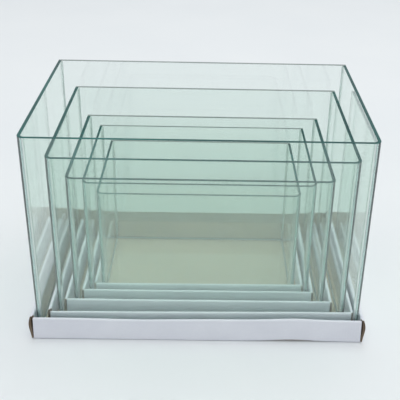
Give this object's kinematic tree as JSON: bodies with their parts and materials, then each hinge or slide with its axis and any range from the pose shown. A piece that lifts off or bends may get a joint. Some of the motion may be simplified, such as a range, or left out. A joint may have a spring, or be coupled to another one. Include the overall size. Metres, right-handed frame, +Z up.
{
  "type": "nested glass aquarium tank set",
  "caption": "Nested set of rimless bent-glass aquarium tanks, each standing in a folded card tray inside the next larger one, and lifting straight out.",
  "frame": {"origin": "centre of the outer tray's underside", "axes": "+Z up, +X to the right seen from the bent front, +Y to the back panes"},
  "size_m": [0.4156, 0.2716, 0.2718],
  "materials": {
    "glass": "clear soda-lime float glass, green at its ground edges",
    "silicone": "translucent aquarium silicone, satin",
    "tray_card": "white-lined corrugated card, brown kraft inside, matt"
  },
  "bodies": {
    "tray_1": {"tray_1": "tray_card"},
    "tank_1": {"tank_1_bent_pane": "glass", "tank_1_back_pane": "glass", "tank_1_base_pane": "glass", "tank_1_base_silicone": "silicone", "tank_1_corner_silicone_left": "silicone", "tank_1_corner_silicone_right": "silicone"},
    "tray_2": {"tray_2": "tray_card"},
    "tank_2": {"tank_2_bent_pane": "glass", "tank_2_back_pane": "glass", "tank_2_base_pane": "glass", "tank_2_base_silicone": "silicone", "tank_2_corner_silicone_left": "silicone", "tank_2_corner_silicone_right": "silicone"},
    "tray_3": {"tray_3": "tray_card"},
    "tank_3": {"tank_3_bent_pane": "glass", "tank_3_back_pane": "glass", "tank_3_base_pane": "glass", "tank_3_base_silicone": "silicone", "tank_3_corner_silicone_left": "silicone", "tank_3_corner_silicone_right": "silicone"},
    "tray_4": {"tray_4": "tray_card"},
    "tank_4": {"tank_4_bent_pane": "glass", "tank_4_back_pane": "glass", "tank_4_base_pane": "glass", "tank_4_base_silicone": "silicone", "tank_4_corner_silicone_left": "silicone", "tank_4_corner_silicone_right": "silicone"},
    "tray_5": {"tray_5": "tray_card"},
    "tank_5": {"tank_5_bent_pane": "glass", "tank_5_back_pane": "glass", "tank_5_base_pane": "glass", "tank_5_base_silicone": "silicone", "tank_5_corner_silicone_left": "silicone", "tank_5_corner_silicone_right": "silicone"}
  },
  "joints": [
    {"name": "tank_1_lift", "type": "slide", "parent": "tray_1", "child": "tank_1", "axis": [0, 0, 1], "range_m": [0, 0.045]},
    {"name": "tray_2_lift", "type": "slide", "parent": "tank_1", "child": "tray_2", "axis": [0, 0, 1], "range_m": [0, 0.28]},
    {"name": "tank_2_lift", "type": "slide", "parent": "tray_2", "child": "tank_2", "axis": [0, 0, 1], "range_m": [0, 0.275]},
    {"name": "tray_3_lift", "type": "slide", "parent": "tank_2", "child": "tray_3", "axis": [0, 0, 1], "range_m": [0, 0.275]},
    {"name": "tank_3_lift", "type": "slide", "parent": "tray_3", "child": "tank_3", "axis": [0, 0, 1], "range_m": [0, 0.27]},
    {"name": "tray_4_lift", "type": "slide", "parent": "tank_3", "child": "tray_4", "axis": [0, 0, 1], "range_m": [0, 0.265]},
    {"name": "tank_4_lift", "type": "slide", "parent": "tray_4", "child": "tank_4", "axis": [0, 0, 1], "range_m": [0, 0.265]},
    {"name": "tray_5_lift", "type": "slide", "parent": "tank_4", "child": "tray_5", "axis": [0, 0, 1], "range_m": [0, 0.265]},
    {"name": "tank_5_lift", "type": "slide", "parent": "tray_5", "child": "tank_5", "axis": [0, 0, 1], "range_m": [0, 0.26]}
  ]
}
